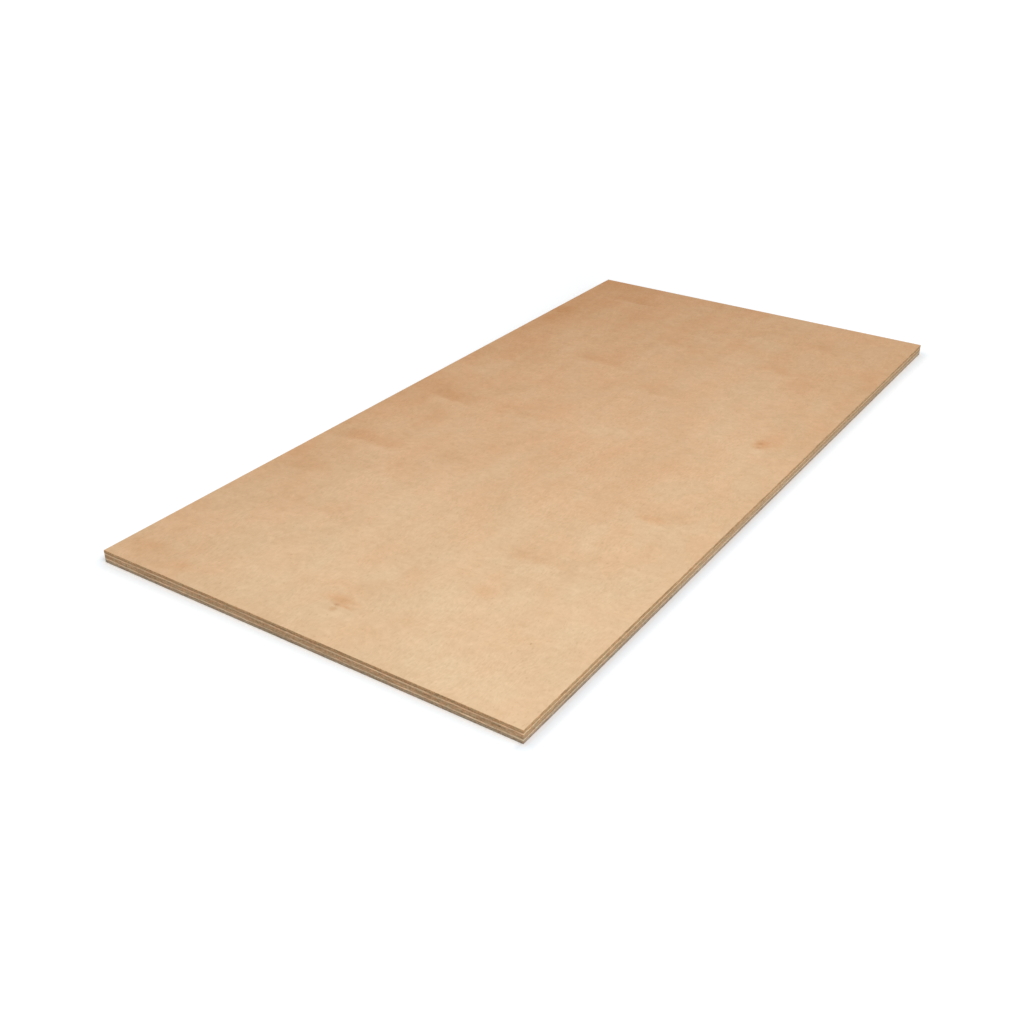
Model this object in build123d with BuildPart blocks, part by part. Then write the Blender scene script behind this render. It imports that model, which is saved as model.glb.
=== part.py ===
from build123d import *
import os

# A plywood sheet, lying flat with its good face up.
# Five peeled veneers are glued face to face, each with its grain square to its
# neighbours'. The cured board is sawn to size in one pass and sanded, so the
# plies end flush with each other on all four edges.
# X runs across the sheet, Y runs along the grain of the face and Z is up.
# The origin is the centre of the underside.

# The trimmed size: half a full sheet each way.
sheet_width = 607.0
sheet_length = 1220.0

# The plies. The lay-up is balanced: the same plies lie above the core as below
# it, so that the sheet stays flat as it dries and takes up damp.
outer_ply_thickness = 3.9
crossband_thickness = 2.3
core_ply_thickness = 4.7

# The saw leaves a sharp arris round each face, and sanding takes it off.
sanded_arris_radius = 0.4

# Heights of the four glue lines and of the face.
back_glue_line = outer_ply_thickness
core_underside = back_glue_line + crossband_thickness
core_topside = core_underside + core_ply_thickness
face_glue_line = core_topside + crossband_thickness
face_height = face_glue_line + outer_ply_thickness

os.makedirs("parts", exist_ok=True)

# The back ply is the underside, with the arris eased all round it.
with BuildPart() as back_ply:
    with BuildSketch():
        Rectangle(sheet_width, sheet_length)
    extrude(amount=outer_ply_thickness)
    underside = back_ply.faces().sort_by(Axis.Z).first
    fillet(underside.edges(), radius=sanded_arris_radius)
back_ply.part.label = "back_ply"
export_step(back_ply.part, "parts/back_ply.step")

# The inner plies are square on every edge, where the saw left them.
inner_plies = {
    "lower_crossband": (back_glue_line, crossband_thickness),
    "core_ply": (core_underside, core_ply_thickness),
    "upper_crossband": (core_topside, crossband_thickness),
}
for ply_name, (underside_height, thickness) in inner_plies.items():
    with BuildPart() as inner_ply:
        with BuildSketch(Plane.XY.offset(underside_height)):
            Rectangle(sheet_width, sheet_length)
        extrude(amount=thickness)
    inner_ply.part.label = ply_name
    export_step(inner_ply.part, f"parts/{ply_name}.step")

# The face ply carries the good face, with the arris eased all round it.
with BuildPart() as face_ply:
    with BuildSketch(Plane.XY.offset(face_glue_line)):
        Rectangle(sheet_width, sheet_length)
    extrude(amount=outer_ply_thickness)
    good_face = face_ply.faces().sort_by(Axis.Z).last
    fillet(good_face.edges(), radius=sanded_arris_radius)
face_ply.part.label = "face_ply"
export_step(face_ply.part, "parts/face_ply.step")

print(f"sheet {sheet_width} x {sheet_length} x {face_height:.1f} mm")
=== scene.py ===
# %% [markdown]
# # A sheet of plywood
# Plywood is made from veneers that are peeled off a turning log as one long ribbon. They are dried,
# laid with the grain of each square to the next, glued under heat, sawn to size and sanded. What the
# eye reads on a finished sheet is the figure of the top veneer and the bands of the plies along the
# sawn edges.
#
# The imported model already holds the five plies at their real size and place, so this script loads it
# as a fixed frame and works on what a solid can't say: the relief that the saw left on the edges, and
# the colour and grain of the wood.

# %% Load the frame
import math

import bmesh
import bpy
from mathutils import Matrix, Vector, noise


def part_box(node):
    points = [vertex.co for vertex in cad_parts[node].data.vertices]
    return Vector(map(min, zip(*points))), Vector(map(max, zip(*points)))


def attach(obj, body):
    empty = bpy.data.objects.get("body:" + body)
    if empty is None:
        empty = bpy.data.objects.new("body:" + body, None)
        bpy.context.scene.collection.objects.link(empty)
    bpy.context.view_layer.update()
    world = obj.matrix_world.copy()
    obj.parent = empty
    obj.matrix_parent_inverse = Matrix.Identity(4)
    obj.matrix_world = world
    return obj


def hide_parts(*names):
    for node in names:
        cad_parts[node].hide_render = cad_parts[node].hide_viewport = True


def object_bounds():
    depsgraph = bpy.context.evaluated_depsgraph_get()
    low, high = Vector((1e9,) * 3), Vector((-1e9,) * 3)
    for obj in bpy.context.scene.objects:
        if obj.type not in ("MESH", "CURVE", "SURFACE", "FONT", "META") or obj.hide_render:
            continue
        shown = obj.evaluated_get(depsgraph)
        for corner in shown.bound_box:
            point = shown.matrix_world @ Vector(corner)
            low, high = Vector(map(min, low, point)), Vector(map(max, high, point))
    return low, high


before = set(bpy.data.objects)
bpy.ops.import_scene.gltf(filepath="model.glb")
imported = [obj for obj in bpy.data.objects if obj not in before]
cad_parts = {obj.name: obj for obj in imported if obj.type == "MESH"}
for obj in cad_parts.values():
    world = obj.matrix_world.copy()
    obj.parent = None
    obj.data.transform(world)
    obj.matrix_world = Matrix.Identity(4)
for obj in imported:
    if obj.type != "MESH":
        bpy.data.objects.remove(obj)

CAD_BOX = [list(corner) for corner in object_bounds()]
MM = 0.001

# %% [markdown]
# ## The sheet in numbers
# Every later size is worked out from the frame, so the looks follow the model if its size changes. The
# plies are read from the bottom up. The grain of the outer plies and of the core runs along the sheet,
# and that of the two crossbands runs across it. That one fact decides what each sawn edge shows:
# fibres lying along it, or their cut ends.

# %% Read the sheet and its plies
LOW, HIGH = (Vector(corner) for corner in CAD_BOX)
WIDTH, LENGTH, THICKNESS = HIGH - LOW
ALONG, ACROSS = "along", "across"
GRAIN = {
    "back_ply": ALONG,
    "lower_crossband": ACROSS,
    "core_ply": ALONG,
    "upper_crossband": ACROSS,
    "face_ply": ALONG,
}

print(f"sheet {WIDTH / MM:.1f} x {LENGTH / MM:.1f} x {THICKNESS / MM:.1f} mm")
for ply in GRAIN:
    low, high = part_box(ply)
    print(f"{ply}: {low.z / MM:.1f} to {high.z / MM:.1f} mm up, grain {GRAIN[ply]} the sheet")

# %% [markdown]
# ## The camera
# The camera stands near the right corner and looks down on the sheet. Its place, its lens and the
# small tilt of its horizon were found by fitting the sheet's corners to the picture, so the render can
# be laid over it. A camera could also be aimed with a Track To constraint. A matrix made from its three
# axes says the same without anything live.

# %% Place the camera
CAMERA_PLACE = Vector((0.8155, -1.3984, 0.7862))
CAMERA_AZIMUTH = math.radians(33.719)
CAMERA_ELEVATION = math.radians(29.241)
CAMERA_ROLL = math.radians(0.163)
LENS_MM = 43.37


def add_camera():
    """A level camera is built first, and then rolled about the line that it looks along."""
    behind = Vector((
        math.sin(CAMERA_AZIMUTH) * math.cos(CAMERA_ELEVATION),
        -math.cos(CAMERA_AZIMUTH) * math.cos(CAMERA_ELEVATION),
        math.sin(CAMERA_ELEVATION),
    ))
    right = Vector((0, 0, 1)).cross(behind).normalized()
    up = behind.cross(right)
    level = Matrix((right, up, behind)).transposed().to_4x4()
    data = bpy.data.cameras.new("camera")
    data.lens = LENS_MM
    camera = bpy.data.objects.new("camera", data)
    bpy.context.scene.collection.objects.link(camera)
    camera.matrix_world = Matrix.Translation(CAMERA_PLACE) @ level @ Matrix.Rotation(CAMERA_ROLL, 4, "Z")
    return camera


bpy.context.scene.camera = add_camera()
bpy.context.scene.view_settings.view_transform = "Standard"
print("camera at", [round(v, 3) for v in CAMERA_PLACE], "lens", LENS_MM, "mm")

# %% [markdown]
# ## Short ways to write nodes
# A procedural finish is a small calculation that runs at every point of the surface. Written out node
# by node it is long, so a helper holds one material while it is made and has a method for each kind of
# step. This first half does sums on numbers and on places. Everything starts from Object coordinates:
# they are metres on the object itself, so a grain line stays where it is when the camera moves, and a
# pattern runs on from a face round to the edge as it does in real wood.

# %% Sums on numbers and places


class NodeSums:
    """One material while it is being made, with a method for each kind of sum."""

    def __init__(self, name):
        self.material = bpy.data.materials.new(name)
        self.material.use_nodes = True
        self.tree = self.material.node_tree
        self.shader = self.tree.nodes["Principled BSDF"]
        self.place = self.tree.nodes.new("ShaderNodeTexCoord").outputs["Object"]

    def feed(self, socket, value):
        """A socket takes another node's output, or else a plain value."""
        if isinstance(value, bpy.types.NodeSocket):
            self.tree.links.new(value, socket)
        else:
            socket.default_value = value

    def math(self, operation, *values):
        node = self.tree.nodes.new("ShaderNodeMath")
        node.operation = operation
        for socket, value in zip(node.inputs, values):
            self.feed(socket, value)
        return node.outputs[0]

    def times(self, value, factor):
        return self.math("MULTIPLY", value, factor)

    def add_part(self, value, part, share):
        """Adds a share of a second value to the first one."""
        return self.math("MULTIPLY_ADD", part, share, value)

    def total(self, first, *others):
        for other in others:
            first = self.math("ADD", first, other)
        return first

    def between(self, amount, low, high):
        """Goes straight from low to high as an amount goes from nought to one."""
        return self.math("MULTIPLY_ADD", amount, high - low, low)

    def vector(self, operation, *values):
        node = self.tree.nodes.new("ShaderNodeVectorMath")
        node.operation = operation
        for socket, value in zip(node.inputs, values):
            self.feed(socket, value)
        return node.outputs["Value" if operation == "LENGTH" else "Vector"]

    def split(self, vector):
        node = self.tree.nodes.new("ShaderNodeSeparateXYZ")
        self.feed(node.inputs[0], vector)
        return node.outputs

    def join(self, x, y, z):
        node = self.tree.nodes.new("ShaderNodeCombineXYZ")
        for socket, value in zip(node.inputs, (x, y, z)):
            self.feed(socket, value)
        return node.outputs[0]


print("sums ready")

# %% [markdown]
# The second half of the helper makes patterns and colours. Wood is mostly noise that is drawn out along
# the grain, so its main method is a noise with its own count per metre on each axis. Image textures
# would be quicker to set up, but they blur close up and repeat. Colours are mixed without clamping: an
# amount a little past one goes on in the same direction, so no dark or pale patch is cut off flat.

# %% Patterns, colours and the finished material
NOISE_MIDDLE = 0.5  # Blender's noise lies about this value


class Finish(NodeSums):
    """Adds patterns and colours. Its seed shifts every noise, so that no two plies look alike."""

    def __init__(self, name, seed):
        super().__init__(name)
        self.shift = (seed, 2 * seed, 3 * seed)

    def noise(self, place, per_metre, detail, roughness):
        """Noise about nought. A low count per metre on an axis draws it out along that axis."""
        mapping = self.tree.nodes.new("ShaderNodeMapping")
        self.feed(mapping.inputs["Vector"], place)
        mapping.inputs["Scale"].default_value = per_metre
        mapping.inputs["Location"].default_value = self.shift
        node = self.tree.nodes.new("ShaderNodeTexNoise")
        self.feed(node.inputs["Vector"], mapping.outputs[0])
        node.inputs["Scale"].default_value = 1.0
        node.inputs["Detail"].default_value = detail
        node.inputs["Roughness"].default_value = roughness
        return self.math("SUBTRACT", node.outputs["Fac"], NOISE_MIDDLE)

    def fade(self, value, start, end):
        """Goes smoothly from nought to one as a value goes from start to end, whichever is larger."""
        node = self.tree.nodes.new("ShaderNodeMapRange")
        node.interpolation_type = "SMOOTHSTEP"
        self.feed(node.inputs["Value"], value)
        node.inputs["From Min"].default_value = min(start, end)
        node.inputs["From Max"].default_value = max(start, end)
        node.inputs["To Min"].default_value = 0.0 if start < end else 1.0
        node.inputs["To Max"].default_value = 1.0 if start < end else 0.0
        return node.outputs["Result"]

    def blend(self, amount, first, second, mode="MIX"):
        """Mixes two colours, and doesn't stop at either of them."""
        node = self.tree.nodes.new("ShaderNodeMix")
        node.data_type = "RGBA"
        node.blend_type = mode
        node.clamp_factor = False
        self.feed(node.inputs["Factor"], amount)
        for name, colour in (("A_Color", first), ("B_Color", second)):
            socket = next(s for s in node.inputs if s.identifier == name)
            self.feed(socket, colour if isinstance(colour, bpy.types.NodeSocket) else (*colour, 1.0))
        return next(s for s in node.outputs if s.identifier == "Result_Color")

    def tinted(self, colour, tint, amount=1.0):
        """A colour multiplied by a tint, wholly or by some amount."""
        return self.blend(amount, colour, tint, "MULTIPLY")

    def relief(self, height, depth):
        node = self.tree.nodes.new("ShaderNodeBump")
        node.inputs["Strength"].default_value = 1.0
        node.inputs["Distance"].default_value = depth
        self.feed(node.inputs["Height"], height)
        self.tree.links.new(node.outputs["Normal"], self.shader.inputs["Normal"])

    def finish(self, colour, roughness, specular_level):
        self.feed(self.shader.inputs["Base Color"], colour)
        self.feed(self.shader.inputs["Roughness"], roughness)
        self.shader.inputs["Specular IOR Level"].default_value = specular_level
        return self.material


print("finish helper ready")

# %% [markdown]
# ## The figure of the face
# The top veneer is a pale, close-grained hardwood, peeled and sanded smooth. From afar it shows four
# things. Its tone drifts from pale at the near right to honey at the far left, partly the wood's own
# and partly painted shade where the lamps give less light, and is deeper or paler in patches. Soft
# tongues lie across the grain, dark on one side and bright on the other, where the fibres dip and rise:
# a joiner calls that crossfire. A few rust-coloured stains and dark specks were in the log. And there
# are two small knots that the grain flows around. All of it could be painted as an image. Nodes keep it
# sharp at any distance instead, and noise gives the parts between the placed marks the same irregular
# look.
#
# Places on the face are shares of the sheet: the first number goes across it from the left, the second
# from the far end towards the near one.

# %% Where the marks of the face lie
# tone patches: share across, share down, half width share, half length share, strength
PATCH_SHARES = (
    (0.02, 0.18, 0.20, 0.16, 0.14),
    (0.14, 0.00, 0.32, 0.07, 0.11),
    (0.98, 0.19, 0.24, 0.24, 0.20),
    (0.01, 0.50, 0.16, 0.10, 0.12),
    (0.02, 0.71, 0.20, 0.14, 0.13),
    (0.38, 0.57, 0.26, 0.12, 0.08),
    (0.02, 0.98, 0.26, 0.08, 0.12),
    (0.02, 0.02, 0.14, 0.06, 0.08),
    (0.00, 0.60, 0.12, 0.07, 0.09),
    (0.00, 0.88, 0.12, 0.08, 0.08),
    (0.97, 0.36, 0.15, 0.11, 0.14),
    (0.97, 0.94, 0.18, 0.10, 0.07),
    (0.52, 0.915, 0.10, 0.035, 0.15),
    (0.70, 0.26, 0.20, 0.14, -0.10),
    (0.80, 0.42, 0.16, 0.14, -0.08),
    (0.52, 0.43, 0.24, 0.13, -0.08),
    (0.64, 0.77, 0.16, 0.08, -0.08),
    (0.24, 0.24, 0.28, 0.18, -0.07),
    (0.34, 0.77, 0.20, 0.10, -0.10),
    (0.46, 0.89, 0.36, 0.11, -0.11),
    (0.03, 0.385, 0.08, 0.06, 0.10),
    (0.03, 0.180, 0.10, 0.05, 0.07),
    (0.82, 0.245, 0.10, 0.05, 0.08),
    (0.69, 0.465, 0.09, 0.05, 0.07),
    (0.32, 0.430, 0.12, 0.07, -0.06),
    (0.20, 0.395, 0.12, 0.07, -0.09),
    (0.56, 0.535, 0.13, 0.07, -0.08),
    (0.32, 0.035, 0.12, 0.06, 0.07),
    (0.31, 0.68, 0.12, 0.08, 0.06),
)
# crossfire: share across, share down, half width share, slope, strength
CROSSFIRE_SHARES = (
    (0.175, 0.074, 0.15, 0.00, 0.64),
    (0.020, 0.165, 0.10, 0.10, 0.55),
    (0.600, 0.103, 0.12, 0.04, 0.40),
    (0.790, 0.100, 0.12, -0.03, 0.50),
    (0.735, 0.208, 0.13, 0.04, 0.50),
    (0.430, 0.196, 0.10, -0.10, 0.35),
    (0.330, 0.306, 0.16, -0.04, 0.60),
    (0.545, 0.358, 0.12, 0.05, 0.55),
    (0.140, 0.515, 0.13, -0.03, 1.00),
    (0.330, 0.507, 0.14, 0.12, 0.35),
    (0.110, 0.668, 0.20, 0.10, 0.85),
    (0.330, 0.652, 0.09, -0.06, 0.50),
    (0.865, 0.642, 0.11, 0.10, 0.75),
    (0.740, 0.783, 0.17, 0.02, 0.45),
    (0.080, 0.760, 0.14, 0.00, 0.40),
    (0.270, 0.826, 0.17, -0.02, 0.45),
    (0.670, 0.940, 0.10, -0.15, 0.30),
    (0.560, 0.872, 0.09, 0.10, 0.35),
    (0.050, 0.985, 0.12, 0.00, 0.40),
)
# stains: share across, share down, half width share, half length share, amount
STAIN_SHARES = (
    (0.702, 0.853, 0.050, 0.017, 0.28),
    (0.858, 0.644, 0.060, 0.012, 0.40),
    (0.070, 0.966, 0.070, 0.020, 0.26),
    (0.170, 0.976, 0.055, 0.014, 0.26),
    (0.715, 0.778, 0.055, 0.016, 0.16),
)
# specks: share across, share down
SPECK_SHARES = ((0.210, 0.090), (0.565, 0.3725), (0.160, 0.5275), (0.880, 0.8975))


def on_face(across_share, down_share):
    """The place on the face, in metres, of two shares of the sheet."""
    return Vector((LOW.x + across_share * WIDTH, HIGH.y - down_share * LENGTH, 0.0))


def spot(finish, place, centre, half_width, half_length):
    """One at the centre and nought past an oval of the size given."""
    away = finish.vector("SUBTRACT", place, centre)
    scaled = finish.vector("MULTIPLY", away, (1 / half_width, 1 / half_length, 0.0))
    return finish.fade(finish.vector("LENGTH", scaled), 1.0, 0.0)


def share_spot(finish, place, across, down, half_width_share, half_length_share):
    """A spot whose place and size are all shares of the sheet."""
    half_width, half_length = half_width_share * WIDTH, half_length_share * LENGTH
    return spot(finish, place, on_face(across, down), half_width, half_length)


print(len(PATCH_SHARES), "patches,", len(CROSSFIRE_SHARES), "crossfire tongues,")
print(len(STAIN_SHARES), "stains,", len(SPECK_SHARES), "specks")

# %% [markdown]
# A crossfire tongue is dark inside its near edge and fades out towards the far side, with a bright
# patch just before it. One curve holds that profile, and a second one fades the tongue out at its
# sides. The curves are Float Curve nodes: they read a number between nought and one, so the place is
# first measured from the middle of the tongue and scaled to that range. Its near edge is bowed, because
# the knife cuts through a dip in the fibres as through a bowl.

# %% One tongue of crossfire
TONGUE_REACH = 125 * MM  # along the grain, bright patch and all
TONGUE_BOW = 12 * MM  # how much further away the edge lies at its sides
TONGUE_DEPTH = 0.30  # how much deeper the tone is in a full-strength tongue
TONGUE_PROFILE = (
    (0.00, 0.00), (0.22, -0.06), (0.37, -0.28), (0.44, -0.33), (0.49, 0.00),
    (0.54, 0.65), (0.60, 0.85), (0.70, 0.60), (0.84, 0.20), (1.00, 0.00),
)
TONGUE_SIDES = (
    (0.0, 0.0), (0.15, 0.08), (0.34, 0.70), (0.5, 1.0), (0.66, 0.70), (0.85, 0.08), (1.0, 0.0),
)
CURVE_MIDDLE = 0.5  # where both curves read the middle of the tongue


def curve(finish, value, points):
    """A Float Curve node through the points given, level past its two ends."""
    node = finish.tree.nodes.new("ShaderNodeFloatCurve")
    node.mapping.clip_min_y = -1.0
    node.mapping.extend = "HORIZONTAL"
    line = node.mapping.curves[0]
    for _ in points[2:]:
        line.points.new(CURVE_MIDDLE, CURVE_MIDDLE)
    for point, place in zip(line.points, points):
        point.location = place
    node.mapping.update()
    finish.feed(node.inputs["Value"], value)
    return node.outputs[0]


def tongue(finish, place, across_share, down_share, half_width_share, slope, strength):
    """Positive where a crossfire tongue is dark, and negative where it is bright."""
    x, y, _ = finish.split(finish.vector("SUBTRACT", place, on_face(across_share, down_share)))
    half_width = half_width_share * WIDTH
    aside = finish.math("MULTIPLY_ADD", x, CURVE_MIDDLE / half_width, CURVE_MIDDLE)
    leaned = finish.add_part(y, x, -slope)
    bowed = finish.add_part(leaned, finish.times(x, x), -TONGUE_BOW / half_width ** 2)
    inside = finish.math("MULTIPLY_ADD", bowed, 1.0 / TONGUE_REACH, CURVE_MIDDLE)
    shape = finish.times(curve(finish, aside, TONGUE_SIDES), curve(finish, inside, TONGUE_PROFILE))
    return finish.times(shape, TONGUE_DEPTH * strength)


print(f"a tongue reaches {TONGUE_REACH / MM:.0f} mm along the grain")

# %% [markdown]
# A knot is the stub of a small branch that leaned away under the surface. Its cut shows as a brown eye
# with a rust-coloured halo behind it, and the wood before it is pale and dense. No two are alike, so
# each knot is a short list of soft ovals, from the widest stain down to the dark of the eye. The wide
# stains get a ragged outline and the small marks a plain one, so that the eye stays whole.

# %% The colours of the wood and the marks of the knots
PALE, HONEY = (0.735, 0.5245, 0.323), (0.563, 0.306, 0.1435)
RUST, BARK_RED, BARK_BROWN = (0.623, 0.292, 0.121), (0.506, 0.241, 0.089), (0.370, 0.164, 0.053)
# each mark: its colour, aside, further away, half width and half length in millimetres, its amount
FAR_KNOT_STAINS = (
    (RUST, 4.0, 19.0, 30.0, 46.0, 0.28),
)
FAR_KNOT_MARKS = (
    (PALE, 6.0, -22.0, 12.0, 15.0, 0.60),
    (RUST, 2.0, 2.5, 19.0, 25.0, 0.64),
    (RUST, 19.0, 11.0, 20.0, 27.0, 0.13),
    (RUST, 0.5, 10.0, 9.0, 9.0, 0.26),
    (PALE, 2.0, -2.0, 3.2, 5.5, 0.32),
    (BARK_BROWN, -1.0, 4.5, 7.0, 6.5, 0.26),
    (BARK_BROWN, 2.0, -8.0, 7.5, 5.5, 0.30),
)
NEAR_KNOT_STAINS = (
    (RUST, -2.0, 8.0, 46.0, 17.0, 0.28),
    (PALE, 18.0, -14.0, 26.0, 17.0, 0.50),
)
NEAR_KNOT_MARKS = (
    (RUST, -13.0, 11.0, 21.0, 14.0, 0.20),
    (BARK_RED, 2.0, 13.0, 17.0, 12.0, 0.12),
    (RUST, 2.0, 9.0, 15.0, 13.0, 0.14),
    (BARK_BROWN, -0.5, 0.5, 6.5, 4.0, 0.42),
    (RUST, 12.0, 1.8, 14.0, 4.0, 0.40),
    (BARK_RED, 1.8, -8.0, 7.0, 8.5, 0.44),
    (PALE, 1.0, -3.4, 5.0, 1.8, 0.35),
)
# knots: share across, share down, their stains and their marks
KNOTS = (
    (0.888, 0.417, FAR_KNOT_STAINS, FAR_KNOT_MARKS),
    (0.514, 0.9455, NEAR_KNOT_STAINS, NEAR_KNOT_MARKS),
)
SPECK = (BARK_BROWN, 0.0, 0.0, 1.5, 2.8, 0.60)


def mark(finish, place, colour, centre, mark_colour, aside, away, half_width, half_length, amount):
    """Lays one soft oval of another colour over the wood."""
    middle = centre + Vector((aside, away, 0.0)) * MM
    oval = spot(finish, place, middle, half_width * MM, half_length * MM)
    return finish.blend(finish.times(oval, amount), colour, mark_colour)


def add_marks(finish, colour, ragged, stains, knots, specks):
    """Lays the stains, the knots and the specks over the wood, the broad ones first."""
    for *where, amount in stains:
        oval = share_spot(finish, ragged, *where)
        colour = finish.blend(finish.times(oval, amount), colour, RUST)
    for across, down, broad_marks, small_marks in knots:
        for broad_mark in broad_marks:
            colour = mark(finish, ragged, colour, on_face(across, down), *broad_mark)
        for small_mark in small_marks:
            colour = mark(finish, finish.place, colour, on_face(across, down), *small_mark)
    for speck in specks:
        colour = mark(finish, finish.place, colour, on_face(*speck), *SPECK)
    return colour


print(len(KNOTS), "knots, with", " and ".join(str(len(marks)) for *_, marks in KNOTS), "marks")

# %% [markdown]
# Grain flows around a knot as water flows around a stone. The stream function of that flow is one short
# sum, and it moves the place sideways before any grain is drawn, so every fibre bends by itself. Away
# from the knots two slow noises bend the grain a little, because no tree grows straight. A third place,
# shaken by rougher noise, is for the placed patches, tongues and stains: it gives them the frayed
# outline that a ruled oval lacks.

# %% Bent grain and ragged outlines
KNOT_RADIUS = 5 * MM
KNOT_SOFTENING = 0.7  # of the radius, which keeps the flow finite at the knot's centre
# every noise, here and below: its count per metre on each axis, its detail and its roughness
SLOW_BEND = ((7, 3, 7), 1.0, 0.5)
SLOW_REACH = 16 * MM
QUICK_BEND = ((13, 16, 13), 1.0, 0.5)
QUICK_REACH = 22 * MM
SHAKEN_ALONG = ((20, 11, 20), 4.0, 0.62)
SHAKEN_ACROSS = ((11, 14, 11), 4.0, 0.55)
SHAKEN_REACH = 44 * MM


def flow_around(finish, centre, radius):
    """How far the fibres are pushed aside at each place by a knot of that radius."""
    x, y, _ = finish.split(finish.vector("SUBTRACT", finish.place, centre))
    square = finish.math("MULTIPLY_ADD", x, x, finish.times(y, y))
    softened = finish.math("ADD", square, (KNOT_SOFTENING * radius) ** 2)
    return finish.math("DIVIDE", finish.times(x, radius ** 2), softened)


def grain_place(finish, knots):
    """The place with its grain straightened out, so that straight noise on it shows as bent grain."""
    x, y, _ = finish.split(finish.place)
    line = finish.add_part(x, finish.noise(finish.place, *SLOW_BEND), SLOW_REACH)
    line = finish.add_part(line, finish.noise(finish.place, *QUICK_BEND), QUICK_REACH)
    for across, down, *_ in knots:
        line = finish.math("SUBTRACT", line, flow_around(finish, on_face(across, down), KNOT_RADIUS))
    return finish.join(line, y, 0.0)


def ragged_place(finish):
    """The place shaken by noise, so that the placed marks have no ruled outline."""
    x, y, _ = finish.split(finish.place)
    far = finish.add_part(y, finish.noise(finish.place, *SHAKEN_ALONG), SHAKEN_REACH)
    aside = finish.add_part(x, finish.noise(finish.place, *SHAKEN_ACROSS), SHAKEN_REACH)
    return finish.join(aside, far, 0.0)


print(f"grain bends by up to {(SLOW_REACH + QUICK_REACH) / 2 / MM:.0f} mm")

# %% [markdown]
# The tone of a veneer is one number, nought for pale and one for honey. It is turned into colour only
# once, at the end, so everything that makes the wood deeper or paler simply adds up: the drift across
# the sheet, which on the face is partly painted shade, broad clouds, short bars across the grain, small
# clouds, long bands along the grain, the placed patches and the tongues. The tone is also a touch
# deeper along the rim, at the two long edges and the near end, and this fades out towards the far end.

# %% The tone of a veneer
BROAD_CLOUDS = ((10, 8, 10), 5.0, 0.62)
BROAD_STRENGTH = 0.65
CROSS_BARS = ((26, 55, 1), 4.0, 0.6)
BAR_STRENGTH = 0.28
SMALL_CLOUDS = ((60, 45, 60), 3.0, 0.6)
SMALL_STRENGTH = 0.10
LONG_BANDS = ((44, 3.5, 1), 3.0, 0.5)
BAND_STRENGTH = 0.28
RIM_WIDTH = 60 * MM
RIM_DEPTH = 0.06
RIM_FULL_AT = -LENGTH / 8  # the rim deepens from the far end to here, and stays so to the near end


def rim_of(finish, x, y):
    """One at the two long edges and the near one, and nought inside the rim and at the far end."""
    sides = finish.fade(finish.math("ABSOLUTE", x), WIDTH / 2 - RIM_WIDTH, WIDTH / 2)
    near_end = finish.fade(y, RIM_WIDTH - LENGTH / 2, -LENGTH / 2)
    nearness = finish.fade(y, LENGTH / 2, RIM_FULL_AT)
    return finish.times(finish.math("MAXIMUM", sides, near_end), nearness)


def veneer_tone(finish, grain, ragged, middle_tone, drift, patches, tongues):
    """The tone at every place. Drift is how much it changes over a metre across and along."""
    x, y, _ = finish.split(finish.place)
    tone = finish.total(middle_tone, finish.times(x, drift[0]), finish.times(y, drift[1]))
    tone = finish.add_part(tone, finish.noise(finish.place, *BROAD_CLOUDS), BROAD_STRENGTH)
    tone = finish.add_part(tone, finish.noise(ragged, *CROSS_BARS), BAR_STRENGTH)
    tone = finish.add_part(tone, finish.noise(finish.place, *SMALL_CLOUDS), SMALL_STRENGTH)
    tone = finish.add_part(tone, finish.noise(grain, *LONG_BANDS), BAND_STRENGTH)
    tone = finish.add_part(tone, rim_of(finish, x, y), RIM_DEPTH)
    for *where, strength in patches:
        tone = finish.add_part(tone, share_spot(finish, ragged, *where), strength)
    for shape in tongues:
        tone = finish.math("ADD", tone, tongue(finish, ragged, *shape))
    return tone


print(f"the rim is deeper in tone over {RIM_WIDTH / MM:.0f} mm")

# %% [markdown]
# The hue wanders a little by itself: some parts are rosier and some more olive, and the middle of the
# sheet is the rosiest. The fine grain comes last, as five layers that darken the colour together. Long
# thin fibres and short flecks lie along the grain. Ripples lie across it, where the knife chattered.
# Small clouds break both up, and pores are the finest and darkest streaks. The grain isn't as coarse
# everywhere: one slow noise makes the fibres strong and the ripples weak in some parts, and the other
# way round in others. Fibres drive the relief and the gloss, and pores only the relief, because a
# sanded pore is a little deeper than the wood beside it; that it is duller too is left out.

# %% The sanded veneer
ROSY, OLIVE = (1.013, 0.976, 0.962), (0.987, 1.007, 1.015)
HUE_WANDER = ((17, 13, 1), 3.0, 0.5)
HUE_SPREAD = 0.19
ROSY_MIDDLE = (0.45, 0.52, 0.75, 0.44)  # share across, share down, half width and half length shares
ROSY_AMOUNT = 0.45
COARSENESS = ((16, 11, 16), 2.0, 0.5)
COARSE_SPREAD = 0.14
FIBRES = ((355, 110, 1), 4.0, 0.62)
FIBRE_WEIGHTS = (0.44, 1.36)  # in the fine parts and in the coarse ones
RIPPLES = ((90, 150, 1), 3.0, 0.6)
RIPPLE_WEIGHTS = (0.95, 0.57)
FLECKS = ((360, 150, 1), 2.0, 0.5)
FLECK_RANGE = (0.08, 0.26)
FLECK_WEIGHT = 0.42
CLOUDS = ((75, 60, 75), 3.0, 0.6)
CLOUD_WEIGHT = 0.55
PORES = ((2100, 190, 1), 2.0, 0.5)
PORE_RANGE = (0.14, 0.30)
PORE_AMOUNT = 0.5
SHADE_MIDDLE = 0.12
FIBRE_SHADE, PORE_SHADE = (0.78, 0.74, 0.68), (0.62, 0.53, 0.44)
FIBRE_HEIGHT = 0.5  # where a pore is one deep
GRAIN_DEPTH = 0.04 * MM
SANDED_ROUGHNESS, ROUGHER_FIBRES = 0.62, 0.25
SANDED_GLOSS = 0.15


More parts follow.
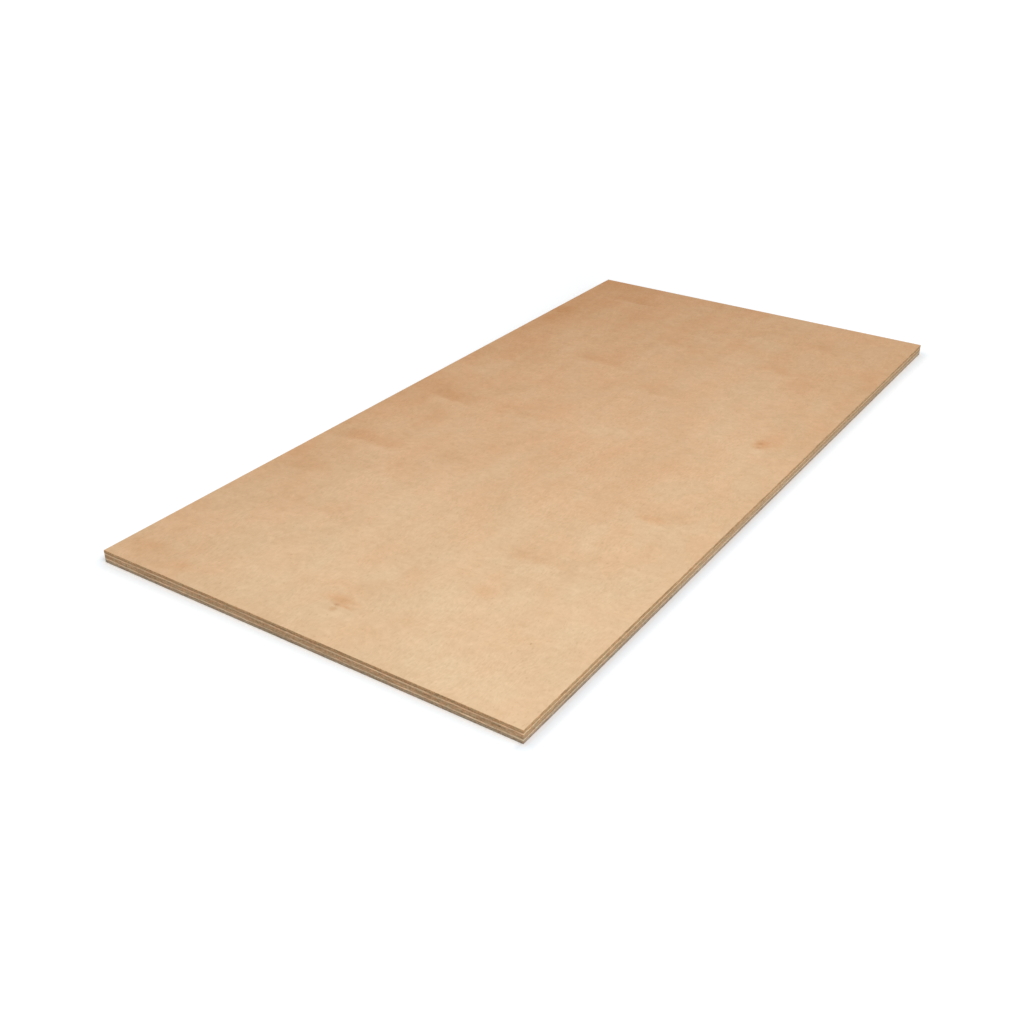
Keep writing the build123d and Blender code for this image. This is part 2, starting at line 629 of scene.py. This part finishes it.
def wandering_hue(finish, ragged):
    """A tint between olive and rosy."""
    rosy = finish.fade(finish.noise(ragged, *HUE_WANDER), -HUE_SPREAD, HUE_SPREAD)
    rosy = finish.add_part(rosy, share_spot(finish, ragged, *ROSY_MIDDLE), ROSY_AMOUNT)
    return finish.blend(rosy, OLIVE, ROSY)


def add_fine_grain(finish, colour, grain, ragged, fibres):
    """Darkens the colour by the fine grain, and presses the grain into the surface."""
    flecks = finish.fade(finish.noise(grain, *FLECKS), *FLECK_RANGE)
    pores = finish.fade(finish.noise(grain, *PORES), *PORE_RANGE)
    coarse = finish.fade(finish.noise(finish.place, *COARSENESS), -COARSE_SPREAD, COARSE_SPREAD)
    shade = finish.total(
        SHADE_MIDDLE,
        finish.times(flecks, FLECK_WEIGHT),
        finish.times(fibres, finish.between(coarse, *FIBRE_WEIGHTS)),
        finish.times(finish.noise(ragged, *RIPPLES), finish.between(coarse, *RIPPLE_WEIGHTS)),
        finish.times(finish.noise(finish.place, *CLOUDS), CLOUD_WEIGHT),
    )
    finish.relief(finish.math("SUBTRACT", finish.times(fibres, FIBRE_HEIGHT), pores), GRAIN_DEPTH)
    colour = finish.tinted(colour, FIBRE_SHADE, shade)
    return finish.tinted(colour, PORE_SHADE, finish.times(pores, PORE_AMOUNT))


def sanded_veneer(name, seed, middle_tone, drift,
                  patches=(), tongues=(), stains=(), knots=(), specks=()):
    """A smooth veneer with its grain, and with whatever marks are placed on it."""
    finish = Finish(name, seed)
    grain = grain_place(finish, knots)
    ragged = ragged_place(finish)
    tone = veneer_tone(finish, grain, ragged, middle_tone, drift, patches, tongues)
    colour = finish.tinted(finish.blend(tone, PALE, HONEY), wandering_hue(finish, ragged))
    colour = add_marks(finish, colour, ragged, stains, knots, specks)
    fibres = finish.noise(grain, *FIBRES)
    colour = add_fine_grain(finish, colour, grain, ragged, fibres)
    roughness = finish.math("MULTIPLY_ADD", fibres, ROUGHER_FIBRES, SANDED_ROUGHNESS)
    return finish.finish(colour, roughness, SANDED_GLOSS)


print("fine grain", GRAIN_DEPTH / MM, "mm deep")

# %% [markdown]
# The face has every mark. The back doesn't show in the picture. It is what the back of such a sheet is:
# a second-best veneer, a little darker, even in tone and with nothing placed on it. The same function
# makes both, so they are plainly from the same wood.

# %% Make the face and the back veneer
# each veneer: its seed, its middle tone, and how its tone drifts over a metre across and along
# the face's drift is partly the wood's own and partly painted shade, deepening towards the far left,
# away from the lamps
FACE_SEED, FACE_TONE, FACE_DRIFT_AND_PAINTED_SHADE = 0.0, 0.45, (-0.62, 0.53)
BACK_SEED, BACK_TONE, BACK_DRIFT = 7.3, 0.75, (0.10, 0.05)

SANDED_FACE = sanded_veneer(
    "sanded face veneer", FACE_SEED, FACE_TONE, FACE_DRIFT_AND_PAINTED_SHADE,
    patches=PATCH_SHARES, tongues=CROSSFIRE_SHARES,
    stains=STAIN_SHARES, knots=KNOTS, specks=SPECK_SHARES,
)
SANDED_BACK = sanded_veneer("sanded back veneer", BACK_SEED, BACK_TONE, BACK_DRIFT)
print("face and back veneers made")

# %% [markdown]
# ## Sawn edges
# A sawn edge is darker than a sanded face, because the rough cut fibres hold the light. The thick plies
# are of a browner wood than the two thin crossbands between them, which gives the pale and dark bands.
# The same 3-D pattern serves all four edges: it is drawn out along the grain of its ply, so it reads as
# streaks where the fibres lie along the edge and as fine dots where they end in it. End grain and side
# grain of one wood don't have the same tone, so each ply has one for the long edges and one for the
# short ones. The growth rings lie nearly flat in a peeled veneer, so they show as thin lines on every
# edge, and a slow noise keeps them from being ruled. A hair of dark glue runs along each joint, and
# just below the eased arris the top of the edge gets a painted highlight.

# %% The tones of the sawn plies
# each ply: its tone on the long edges, and on the short ones
SAWN_TONES = {
    "back_ply": ((0.369, 0.279, 0.201), (0.361, 0.268, 0.184)),
    "lower_crossband": ((0.562, 0.434, 0.302), (0.659, 0.476, 0.315)),
    "core_ply": ((0.424, 0.283, 0.164), (0.439, 0.281, 0.160)),
    "upper_crossband": ((0.616, 0.435, 0.264), (0.601, 0.409, 0.251)),
    "face_ply": ((0.412, 0.257, 0.134), (0.412, 0.250, 0.129)),
}
LONG_EDGE_START, LONG_EDGE_FULL = WIDTH / 2 - 2 * MM, WIDTH / 2 - 1 * MM
# a painted highlight, which makes the top of the face ply's edge paler just below the eased arris
ARRIS_PAINTED_HIGHLIGHT = (1.10, 1.13, 1.18)
HIGHLIGHT_START, HIGHLIGHT_FULL = HIGH.z - 2.5 * MM, HIGH.z - 0.5 * MM
GLUE_LINE = 0.12 * MM


def near_glue(finish, node, height):
    """One in the glue line at each joint of a ply, and nought in the wood."""
    low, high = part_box(node)
    joints = [end for end in (low.z, high.z) if LOW.z < end < HIGH.z]
    gaps = [finish.math("ABSOLUTE", finish.math("SUBTRACT", height, joint)) for joint in joints]
    nearest = finish.math("MINIMUM", *gaps) if len(gaps) == 2 else gaps[0]
    return finish.fade(nearest, 2 * GLUE_LINE, GLUE_LINE)


def edge_tone(finish, node, x, z):
    """The tone of a ply, by the edge that the place lies on, with a painted highlight below the arris.
    """
    long_tone, short_tone = SAWN_TONES[node]
    on_long_edge = finish.fade(finish.math("ABSOLUTE", x), LONG_EDGE_START, LONG_EDGE_FULL)
    tone = finish.blend(on_long_edge, short_tone, long_tone)
    # painted highlight along the top of the edge
    lifted = finish.fade(z, HIGHLIGHT_START, HIGHLIGHT_FULL)
    return finish.blend(lifted, tone, finish.tinted(tone, ARRIS_PAINTED_HIGHLIGHT))


print("sawn tones of", len(SAWN_TONES), "plies")

# %% [markdown]
# Each ply gets its own material, because its seed, its grain and its joints are its own. Fibres, rings
# and small clouds are added to one number, and that number goes from a lift to a shade that multiply
# the tone of the ply, so a band keeps its own colour however strong its streaks are.

# %% Make the sawn finishes
RING_WAVES = ((25, 25, 25), 2.0, 0.5)
WAVE_HEIGHT = 1.6 * MM
SAWN_FIBRES = {ALONG: ((520, 110, 800), 4.0, 0.7), ACROSS: ((50, 520, 800), 4.0, 0.7)}
SAWN_FIBRE_WEIGHT = 2.3
RINGS = {ALONG: ((22, 2.5, 900), 3.0, 0.55), ACROSS: ((10, 4, 700), 3.0, 0.55)}
RING_WEIGHT = 1.7
SAWN_CLOUDS = ((240, 240, 700), 4.0, 0.7)
SAWN_CLOUD_WEIGHT = 1.4
STREAK_MIDDLE = 0.5  # between the lift at nought and the shade at one
STREAK_LIFT, STREAK_SHADE = (1.38, 1.42, 1.45), (0.62, 0.58, 0.52)
SAWN_HUE = ((160, 160, 350), 3.0, 0.6)
SAWN_HUE_SPREAD = 0.13
SAWN_ROSY, SAWN_OLIVE = (1.07, 0.97, 0.92), (0.94, 1.02, 1.03)
GLUE_SHADE = (0.62, 0.52, 0.46)
GLUE_AMOUNT = 0.7
SAWN_DEPTH = 0.10 * MM
SAWN_ROUGHNESS, ROUGHER_CUTS = 0.8, 0.2
SAWN_GLOSS = 0.12
FIRST_SAWN_SEED, SAWN_SEED_STEP = 1.7, 1.3


def sawn_wood(node, seed):
    """The edge of a ply, with its grain along the sheet or across it."""
    finish = Finish("sawn " + node.replace("_", " "), seed)
    x, y, z = finish.split(finish.place)
    wavy = finish.join(x, y, finish.add_part(z, finish.noise(finish.place, *RING_WAVES), WAVE_HEIGHT))
    fibres = finish.noise(wavy, *SAWN_FIBRES[GRAIN[node]])
    rings = finish.noise(wavy, *RINGS[GRAIN[node]])
    mixed = finish.total(
        STREAK_MIDDLE,
        finish.times(fibres, SAWN_FIBRE_WEIGHT),
        finish.times(rings, RING_WEIGHT),
        finish.times(finish.noise(finish.place, *SAWN_CLOUDS), SAWN_CLOUD_WEIGHT),
    )
    hue = finish.fade(finish.noise(finish.place, *SAWN_HUE), -SAWN_HUE_SPREAD, SAWN_HUE_SPREAD)
    colour = finish.tinted(edge_tone(finish, node, x, z), finish.blend(mixed, STREAK_LIFT, STREAK_SHADE))
    colour = finish.tinted(colour, finish.blend(hue, SAWN_ROSY, SAWN_OLIVE))
    colour = finish.tinted(colour, GLUE_SHADE, finish.times(near_glue(finish, node, z), GLUE_AMOUNT))
    finish.relief(finish.math("ADD", fibres, rings), SAWN_DEPTH)
    roughness = finish.math("MULTIPLY_ADD", fibres, ROUGHER_CUTS, SAWN_ROUGHNESS)
    return finish.finish(colour, roughness, SAWN_GLOSS)


SAWN = {
    node: sawn_wood(node, FIRST_SAWN_SEED + SAWN_SEED_STEP * place)
    for place, node in enumerate(GRAIN)
}
print("sawn finishes:", len(SAWN))

# %% [markdown]
# ## The plies
# Each ply starts as a cube at the size and place of its CAD node. Its outer arris is bevelled where the
# model has it eased. Then the wide faces are lifted off, the four edges are cut into small cells, and
# the faces are put back, so the cells are only where the relief of the saw will be. A Subdivision
# Surface would cut the wide faces too, for nothing, and round the corners.

# %% Start a ply from its CAD box
EASED_ARRIS = 0.4 * MM
ARRIS_STEPS = 3
CELL = 1.5 * MM
ROW = 0.8 * MM
STRAIGHT = 0.999  # a unit vector that points along an axis has at least this much of it


def edges_along(bm, axis):
    """The edges of a mesh that run along one axis."""
    runs = ((e, (e.verts[1].co - e.verts[0].co).normalized()) for e in bm.edges)
    return [e for e, direction in runs if abs(direction[axis]) > STRAIGHT]


def flat_faces(bm):
    return [f for f in bm.faces if abs(f.normal.z) > STRAIGHT]


def squared_ply(node, eased_side):
    """A block of the ply's size. Its top arris is eased for 1, its bottom one for -1, none for 0."""
    low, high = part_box(node)
    bm = bmesh.new()
    bmesh.ops.create_cube(bm, size=1.0)
    bmesh.ops.scale(bm, vec=high - low, verts=bm.verts)
    bmesh.ops.translate(bm, vec=(low + high) / 2, verts=bm.verts)
    if eased_side:
        outer = next(f for f in bm.faces if f.normal.z * eased_side > STRAIGHT)
        bmesh.ops.bevel(bm, geom=list(outer.edges), offset=EASED_ARRIS, offset_type="OFFSET",
                        affect="EDGES", segments=ARRIS_STEPS, profile=0.5, material=-1)
    return bm


def cut_into_cells(bm, node):
    """Cuts the four edges of a ply into cells and leaves its two wide faces whole."""
    low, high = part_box(node)
    bmesh.ops.delete(bm, geom=flat_faces(bm), context="FACES_ONLY")
    for axis, step in ((2, ROW), (0, CELL), (1, CELL)):
        cuts = max(1, round((high - low)[axis] / step) - 1)
        bmesh.ops.subdivide_edges(bm, edges=edges_along(bm, axis), cuts=cuts)
    bmesh.ops.holes_fill(bm, edges=[e for e in bm.edges if e.is_boundary], sides=0)
    bmesh.ops.recalc_face_normals(bm, faces=bm.faces)


print(f"cells {CELL / MM:.1f} mm long and about {ROW / MM:.1f} mm high")

# %% [markdown]
# The saw doesn't leave a glassy wall. The blade's teeth mark it with shallow ridges, the soft
# crossbands wear back more than the harder plies, and fibres that are cut across tear out here and
# there. None of it is deeper than a quarter of a millimetre, but at a low angle it is what tells sawn
# wood from a printed band. It could be a bump in the material. Real relief also shows in the outline,
# casts its own small shadows and is there in the mesh itself. It is one depth at each place along an
# edge, always inwards, so the sheet never grows past its real size.

# %% Press the relief into the edges
SAWN_ZONE = 1.5 * EASED_ARRIS  # in from the outline, with the sawn edge and both arrises in it
SAW_MARK_DEPTH, SAW_MARK_PITCH = 0.03 * MM, 5.5 * MM
SAW_MARK_LEAN = 0.25  # how far a ridge moves along the edge for its height
SAW_MARK_SWAY = 3.0  # radians, by which the ridges wander from an even spacing
SOFT_DEPTH = {ALONG: 0.02 * MM, ACROSS: 0.07 * MM}
TORN_DEPTH = 0.22 * MM
TORN_OVER = {"end grain": 0.30, "side grain": 0.50}  # the noise tears the wood where it is over this
# noises of the relief: count per metre along the edge and up it, and the step from edge to edge
SWAY_NOISE = (9.0, 9.0, 90.0)
SOFT_NOISE = (90.0, 250.0, 3.0)
TORN_NOISE = (260.0, 420.0, 7.0)


def relief_noise(along, height, side, counts):
    """Noise from about -1 to 1 at one place of an edge. Each of the four edges has its own."""
    along_count, height_count, side_step = counts
    return noise.noise(Vector((along * along_count, height * height_count, side_step * side)))


def depth_at(along, height, side, grain, cut):
    """How deep the sawn surface lies at one place of an edge."""
    turns = (along + SAW_MARK_LEAN * height) / SAW_MARK_PITCH
    sway = SAW_MARK_SWAY * relief_noise(along, height, side, SWAY_NOISE)
    marks = 0.5 + 0.5 * math.sin(2 * math.pi * turns + sway)
    soft = 0.5 + 0.5 * relief_noise(along, height, side, SOFT_NOISE)
    torn = max(0.0, relief_noise(along, height, side, TORN_NOISE) - TORN_OVER[cut])
    return SAW_MARK_DEPTH * marks + SOFT_DEPTH[grain] * soft + TORN_DEPTH * torn


def press_relief(bm, node):
    """Moves the vertices of the sawn edges inwards."""
    grain = GRAIN[node]
    long_cut, short_cut = ("side grain", "end grain") if grain == ALONG else ("end grain", "side grain")
    inner_x, inner_y = WIDTH / 2 - SAWN_ZONE, LENGTH / 2 - SAWN_ZONE
    for vert in bm.verts:
        x, y, z = vert.co
        if abs(x) > inner_x:
            side = 1 if x > 0 else 2
            vert.co.x -= math.copysign(depth_at(y, z, side, grain, long_cut), x)
        if abs(y) > inner_y:
            side = 3 if y > 0 else 4
            vert.co.y -= math.copysign(depth_at(x, z, side, grain, short_cut), y)


DEEPEST = SAW_MARK_DEPTH + max(SOFT_DEPTH.values()) + TORN_DEPTH * (1 - min(TORN_OVER.values()))
print(f"relief never over {DEEPEST / MM:.2f} mm deep")

# %% [markdown]
# A ply's wide face takes the sanded finish and its edges take the sawn one, so each outer ply has two
# material slots and each polygon an index. The inner plies show only their edges, so the sawn finish is
# all they need. The edges are shaded smooth and the wide faces flat, and the four corners of the sheet
# are marked sharp.

# %% Make the five plies
EASED_SIDES = {"back_ply": -1, "face_ply": 1}
WIDE_FINISH = {"back_ply": SANDED_BACK, "face_ply": SANDED_FACE}
SHARP_ANGLE = math.radians(50)


def shade_ply(bm, eased_side):
    """Gives the wide outer face the second material, and keeps only the corners sharp."""
    for face in bm.faces:
        wide = abs(face.normal.z) > STRAIGHT
        face.smooth = not wide
        face.material_index = 1 if wide and face.normal.z * eased_side > 0 else 0
    for edge in bm.edges:
        edge.smooth = edge.calc_face_angle(0.0) < SHARP_ANGLE


def make_ply(node):
    eased_side = EASED_SIDES.get(node, 0)
    bm = squared_ply(node, eased_side)
    cut_into_cells(bm, node)
    press_relief(bm, node)
    shade_ply(bm, eased_side)
    mesh = bpy.data.meshes.new("sawn_" + node)
    bm.to_mesh(mesh)
    bm.free()
    mesh.materials.append(SAWN[node])
    if node in WIDE_FINISH:
        mesh.materials.append(WIDE_FINISH[node])
    piece = bpy.data.objects.new("sawn_" + node, mesh)
    bpy.context.scene.collection.objects.link(piece)
    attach(piece, "root")
    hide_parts(node)
    return piece


PLIES = [make_ply(node) for node in GRAIN]
for piece in PLIES:
    triangles = sum(len(p.vertices) - 2 for p in piece.data.polygons)
    print(f"{piece.name}: {len(piece.data.polygons)} polygons, {triangles} triangles")

# %% [markdown]
# ## The floor
# The sheet lies on a white studio floor. White comes from the floor's colour where the camera sees it,
# not from more light, so the wood keeps its own colour. Light that bounces off the floor onto the edges
# sees a plain grey instead.
#
# The floor keeps the sheet's soft contact shadow, and its seen colour is graded to match the picture.
# Near the sheet the grading is painted shadow, on top of the real one. Right at the sheet it is warm,
# standing in for light that the wood throws back, and a few millimetres out it is cool, standing in for
# the sky. The painted shadow is deeper beside the long edge than before the short one, less so towards
# the far end and round the near corner. Further out the colour rises to make up for the light that
# falls off.

# %% The colours of the floor
FLOOR_BOUNCE = (0.70, 0.70, 0.70)
# painted shadow on the floor: its seen colours right at the sheet and a few millimetres out from it
CONTACT_SHADE_FRONT, CONTACT_SHADE_BESIDE = (1.05, 1.04, 1.02), (0.80, 0.79, 0.795)
SHADOW_FRONT, SHADOW_BESIDE = (0.98, 1.025, 1.060), (0.80, 0.847, 0.890)
SEEN_AROUND, SEEN_FAR = (1.095, 1.105, 1.115), (1.60, 1.60, 1.60)
WARM_END, COOL_START = 2 * MM, 5.5 * MM  # out from the sheet, between the warm contact and the cool
SHADOW_START, SHADOW_END = 3 * MM, 26 * MM  # between the shadow and the floor around it
FAR_OUT = 700 * MM
SIDE_BLEND = 12 * MM  # how far in from the long edge the front's colour turns into the side's
EARLY_SIDE = 0.3  # how much of the side's colour the front has by then
FAR_END_START = -LENGTH / 4
FAR_END_CUT = 0.6  # how much of the side's colour is gone at the far end
CORNER_INSIDE, CORNER_OUTSIDE = 2 * MM, 4 * MM
CORNER_CUT = 0.2  # and how much is gone round the near corner


def seen_directly(tree):
    """One where a ray comes from the camera, a mirror or glass, and nought for light that bounces."""
    path = tree.nodes.new("ShaderNodeLightPath").outputs
    seen = path["Is Camera Ray"]
    for ray in ("Is Glossy Ray", "Is Transmission Ray"):
        either = tree.nodes.new("ShaderNodeMath")
        either.operation = "MAXIMUM"
        tree.links.new(seen, either.inputs[0])
        tree.links.new(path[ray], either.inputs[1])
        seen = either.outputs[0]
    return seen


def out_from_sheet(finish):
    """How far a place on the floor lies outside the sheet's outline, and nought under it."""
    half_sheet = (WIDTH / 2, LENGTH / 2, 1.0)  # the metre in z keeps the floor's own height out of it
    past = finish.vector("SUBTRACT", finish.vector("ABSOLUTE", finish.place), half_sheet)
    return finish.vector("LENGTH", finish.vector("MAXIMUM", past, (0, 0, 0)))


def painted_shadow_side(finish):
    """One beside the long right edge and nought before the short one, with the two cuts taken off."""
    x, y, _ = finish.split(finish.place)
    side = finish.fade(x, WIDTH / 2 - SIDE_BLEND, WIDTH / 2)
    early = finish.times(finish.fade(x, 0.0, WIDTH / 2), EARLY_SIDE)
    far_end = finish.fade(y, FAR_END_START, LENGTH / 2)
    corner = finish.times(
        finish.fade(y, CORNER_INSIDE - LENGTH / 2, -LENGTH / 2 - CORNER_OUTSIDE),
        finish.fade(x, WIDTH / 2 - CORNER_INSIDE, WIDTH / 2),
    )
    kept = finish.add_part(finish.between(far_end, 1.0, 1.0 - FAR_END_CUT), corner, -CORNER_CUT)
    return finish.times(finish.math("MAXIMUM", side, early), kept)


print("floor colours ready")

# %% [markdown]
# The floor itself is one large square, just under the sheet so that the two never share a plane. Its
# material is a plain Diffuse shader, because a glossy floor would mirror the edges.

# %% Lay the floor
FLOOR_HALF = 20.0
FLOOR_DROP = 0.05 * MM


def floor_colour(finish):
    away, beside = out_from_sheet(finish), painted_shadow_side(finish)
    contact = finish.blend(beside, CONTACT_SHADE_FRONT, CONTACT_SHADE_BESIDE)
    shadow = finish.blend(beside, SHADOW_FRONT, SHADOW_BESIDE)
    seen = finish.blend(finish.fade(away, WARM_END, COOL_START), contact, shadow)
    seen = finish.blend(finish.fade(away, SHADOW_START, SHADOW_END), seen, SEEN_AROUND)
    seen = finish.blend(finish.fade(away, SHADOW_END, FAR_OUT), seen, SEEN_FAR)
    return finish.blend(seen_directly(finish.tree), FLOOR_BOUNCE, seen)


def floor_material():
    finish = Finish("white studio floor", 0.0)
    tree = finish.tree
    tree.nodes.remove(finish.shader)
    shader = tree.nodes.new("ShaderNodeBsdfDiffuse")
    finish.feed(shader.inputs["Color"], floor_colour(finish))
    tree.links.new(shader.outputs[0], tree.nodes["Material Output"].inputs["Surface"])
    return finish.material


def add_floor():
    bm = bmesh.new()
    bmesh.ops.create_grid(bm, x_segments=1, y_segments=1, size=FLOOR_HALF)
    bmesh.ops.translate(bm, vec=(0, 0, LOW.z - FLOOR_DROP), verts=bm.verts)
    mesh = bpy.data.meshes.new("floor")
    bm.to_mesh(mesh)
    bm.free()
    mesh.materials.append(floor_material())
    floor = bpy.data.objects.new("floor", mesh)
    bpy.context.scene.collection.objects.link(floor)


add_floor()
print("floor laid,", 2 * FLOOR_HALF, "m across")

# %% [markdown]
# ## The light
# The sheet lies under an even white sky, which gives the soft shadow all round. A large softbox above
# its near end makes that end the brighter one, and a smaller one low on the right lifts the long edge.
# The sky is white where it is seen, and a little weaker as light.

# %% The sky and the lamps
SKY_SEEN, SKY_LIGHT = 1.0, 0.68
# each softbox: its name, place and target in metres, its size in metres and its power in watts
SOFTBOXES = (
    ("overhead softbox", (1.2, -0.9, 2.4), (0.1, -0.1, 0.0), 1.6, 32),
    ("side softbox", (2.6, -0.2, 0.8), (0.3, -0.1, 0.0), 1.2, 9),
)


def set_sky():
    world = bpy.data.worlds.new("studio")
    bpy.context.scene.world = world
    world.use_nodes = True
    tree = world.node_tree
    background = tree.nodes["Background"]
    background.inputs["Color"].default_value = (1, 1, 1, 1)
    strength = tree.nodes.new("ShaderNodeMapRange")
    strength.inputs["To Min"].default_value = SKY_LIGHT
    strength.inputs["To Max"].default_value = SKY_SEEN
    tree.links.new(seen_directly(tree), strength.inputs["Value"])
    tree.links.new(strength.outputs["Result"], background.inputs["Strength"])


def add_softbox(name, place, target, size, watts):
    lamp = bpy.data.lights.new(name, "AREA")
    lamp.size = size
    lamp.energy = watts
    softbox = bpy.data.objects.new(name, lamp)
    bpy.context.scene.collection.objects.link(softbox)
    softbox.location = place
    softbox.rotation_euler = (Vector(target) - Vector(place)).to_track_quat("-Z", "Y").to_euler()


set_sky()
for softbox in SOFTBOXES:
    add_softbox(*softbox)
print("sky and", len(SOFTBOXES), "softboxes set")
